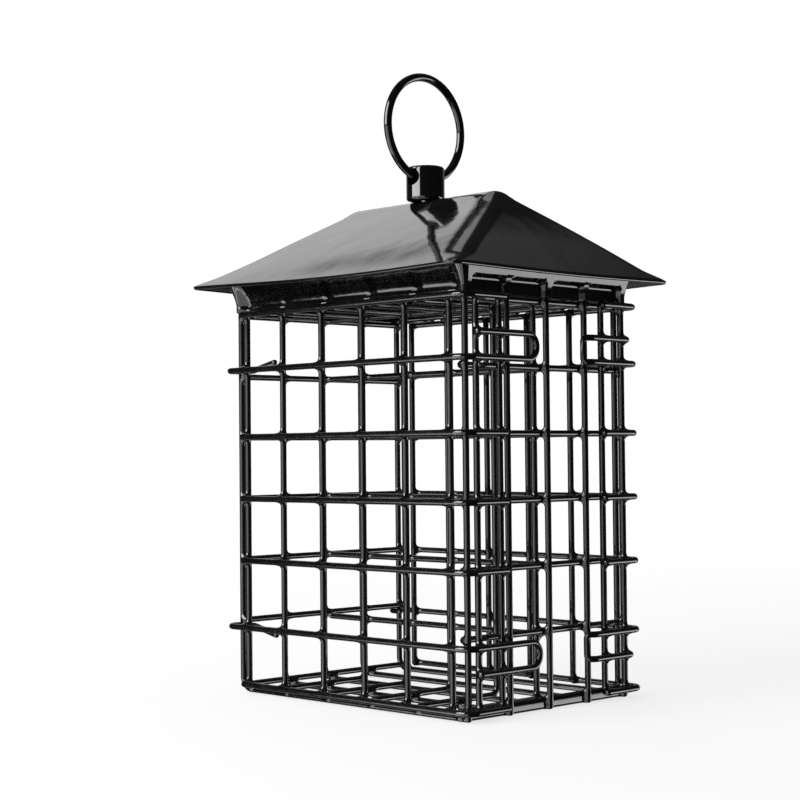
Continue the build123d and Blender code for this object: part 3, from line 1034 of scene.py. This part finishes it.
def floor_finish(settings):
    """Plain floor: lit and shaded by the lamps near the feeder, plain white further off."""
    material, tree, out = new_material("plain_floor")
    coords = add_node(tree, "ShaderNodeTexCoord")
    distance = add_node(tree, "ShaderNodeVectorMath", operation="LENGTH")
    tree.links.new(coords.outputs["Object"], distance.inputs[0])
    share = settings.ground_glow
    dull = (*[c * (1 - share) for c in settings.floor_colour], 1.0)
    shown = shown_rays(tree)
    near_glow = add_node(tree, "ShaderNodeEmission")
    tree.links.new(math_node(tree, "MULTIPLY", shown, share), near_glow.inputs["Strength"])
    near = add_node(tree, "ShaderNodeAddShader")
    tree.links.new(add_node(tree, "ShaderNodeBsdfDiffuse", (("Color", dull),)).outputs[0], near.inputs[0])
    tree.links.new(near_glow.outputs[0], near.inputs[1])
    far_glow = add_node(tree, "ShaderNodeEmission")
    tree.links.new(shown, far_glow.inputs["Strength"])
    both = add_node(tree, "ShaderNodeMixShader")
    tree.links.new(between(tree, distance.outputs["Value"], 0.0, 1.0, 0.25, 0.9), both.inputs[0])
    tree.links.new(near.outputs[0], both.inputs[1])
    tree.links.new(far_glow.outputs[0], both.inputs[2])
    tree.links.new(both.outputs[0], out.inputs["Surface"])
    return material


# What the gloss mirrors: azimuth from +X towards +Y and half width, lower and upper elevation, level, softness
MIRRORED_CARDS = (
    (146.0, 13.0, 20.0, 36.0, 0.72, 3.5),
    (147.0, 15.0, 44.0, 61.0, 0.5, 2.0),
    (135.0, 48.0, -80.0, 16.0, 0.14, 7.0),
    (87.0, 13.0, 39.0, 62.0, 0.12, 5.0),
    (268.0, 40.0, -70.0, 4.5, 0.85, 2.0),
    (256.0, 5.0, -70.0, 4.5, 2.6, 2.0),
    (254.0, 26.0, 7.0, 46.0, 5.2, 1.5),
    (229.0, 8.5, -28.0, -12.5, 2.2, 1.2),
    (224.0, 12.5, -50.0, -28.0, 2.2, 1.2),
    (60.0, 20.0, -30.0, -6.0, 2.2, 2.0),
)


def studio_light(tree, dark):
    """Brightness of the studio by direction: dark, with the white cards and soft boxes of MIRRORED_CARDS."""
    coords = add_node(tree, "ShaderNodeTexCoord")
    parts = add_node(tree, "ShaderNodeSeparateXYZ")
    tree.links.new(coords.outputs["Generated"], parts.inputs[0])
    x, y, z = parts.outputs
    above = math_node(tree, "ARCSINE", z)

    def times(one, other):
        return math_node(tree, "MULTIPLY", one, other)

    level = dark
    for around, half, low, high, strength, soft in MIRRORED_CARDS:
        turn = radians(around)
        ahead = math_node(tree, "ADD", times(x, cos(turn)), times(y, sin(turn)))
        aside = math_node(tree, "SUBTRACT", times(y, cos(turn)), times(x, sin(turn)))
        off = math_node(tree, "ABSOLUTE", math_node(tree, "ARCTAN2", aside, ahead))
        wide = between(tree, off, 1.0, 0.0, radians(half - soft), radians(half + soft))
        lower = between(tree, above, 0.0, 1.0, radians(low - soft), radians(low + soft))
        upper = between(tree, above, 1.0, 0.0, radians(high - soft), radians(high + soft))
        level = math_node(tree, "MAXIMUM", times(times(wide, lower), times(upper, strength)), level)
    return level


class FEEDER_OT_stage(bpy.types.Operator):
    """Makes the plain floor, the soft light and the camera"""

    bl_idname = "feeder.stage"
    bl_label = "Stage"

    def execute(self, context):
        settings = context.scene.feeder.stage
        bm = bmesh.new()
        bmesh.ops.create_grid(bm, x_segments=1, y_segments=1, size=settings.floor_size / 2)
        bmesh.ops.translate(bm, vec=(0, 0, box_before[0][2]), verts=bm.verts)
        floor = add_object("floor", mesh_of("floor", bm))
        floor.data.materials.append(floor_finish(settings))
        floor.visible_glossy = False
        floor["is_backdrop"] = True

        world = bpy.data.worlds.new("studio")
        context.scene.world = world
        world.use_nodes = True
        tree = world.node_tree
        tree.nodes.clear()
        out = add_node(tree, "ShaderNodeOutputWorld")
        back = add_node(tree, "ShaderNodeBackground", (("Color", (1.0, 1.0, 1.0, 1.0)),))
        path = add_node(tree, "ShaderNodeLightPath")
        seen = math_node(tree, "MAXIMUM", path.outputs["Is Camera Ray"], path.outputs["Is Transmission Ray"])
        plain = add_node(tree, "ShaderNodeMapRange", (("To Min", settings.world_strength), ("To Max", 1.0)))
        tree.links.new(seen, plain.inputs["Value"])
        level = add_node(tree, "ShaderNodeMix", data_type="FLOAT")
        tree.links.new(path.outputs["Is Glossy Ray"], level.inputs["Factor"])
        tree.links.new(plain.outputs["Result"], level.inputs["A"])
        tree.links.new(studio_light(tree, settings.studio_dark), level.inputs["B"])
        tree.links.new(level.outputs["Result"], back.inputs["Strength"])
        tree.links.new(back.outputs[0], out.inputs["Surface"])

        soft_box("key_soft_box", (-0.36, -1.14, 0.62), LAMP_TARGET, 1.3, 1.1, settings.key_power)
        soft_box("top_soft_box", (-0.86, 0.46, 0.9), LAMP_TARGET, 1.0, 0.8, settings.top_power)

        camera = bpy.data.cameras.new("camera")
        camera.lens = settings.lens
        camera.sensor_width = 36.0
        camera.clip_start = 0.01
        holder = add_object("camera", camera)
        forward = Vector(CAMERA_WAY).normalized()
        side = Vector((-forward.y, forward.x, 0.0)).normalized() * -1
        rise = side.cross(forward)
        right = side * cos(CAMERA_ROLL) + rise * sin(CAMERA_ROLL)
        up = rise * cos(CAMERA_ROLL) - side * sin(CAMERA_ROLL)
        turn = Matrix((right, up, -forward)).transposed()
        holder.matrix_world = Matrix.Translation(CAMERA_PLACE) @ turn.to_4x4()
        context.scene.camera = holder
        context.scene.view_settings.view_transform = "Standard"
        return {"FINISHED"}


class FEEDER_PT_panel(bpy.types.Panel):
    """Lists the pieces of the feeder and their sizes and colours"""

    bl_idname = "FEEDER_PT_panel"
    bl_label = "Suet Feeder"
    bl_space_type = "VIEW_3D"
    bl_region_type = "UI"
    bl_category = "Suet Feeder"

    def draw(self, context):
        for name, group in GROUPS:
            settings = getattr(context.scene.feeder, name)
            box = self.layout.box()
            box.label(text=name.capitalize())
            for prop in settings.bl_rna.properties:
                if prop.identifier not in ("rna_type", "name"):
                    box.prop(settings, prop.identifier)
        for operator in OPERATORS:
            self.layout.operator(operator.bl_idname)


OPERATORS = (
    FEEDER_OT_wires,
    FEEDER_OT_roof,
    FEEDER_OT_pan,
    FEEDER_OT_hanger,
    FEEDER_OT_stage,
)
CLASSES = tuple(group for _, group in GROUPS) + (FeederSettings,) + OPERATORS + (FEEDER_PT_panel,)


def register():
    for cls in CLASSES:
        bpy.utils.register_class(cls)
    bpy.types.Scene.feeder = bpy.props.PointerProperty(
        name="Suet feeder", description="Sizes and colours of the feeder", type=FeederSettings
    )


def unregister():
    del bpy.types.Scene.feeder
    for cls in reversed(CLASSES):
        bpy.utils.unregister_class(cls)


def plain(box):
    return [[float(x) for x in corner] for corner in box]


def main():
    register()
    bpy.ops.feeder.wires()
    bpy.ops.feeder.roof()
    bpy.ops.feeder.pan()
    bpy.ops.feeder.hanger()
    bpy.ops.feeder.stage()
    bpy.context.view_layer.update()
    {"cad": plain(box_before), "visual": plain(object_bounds())}


if __name__ == "__main__":
    main()
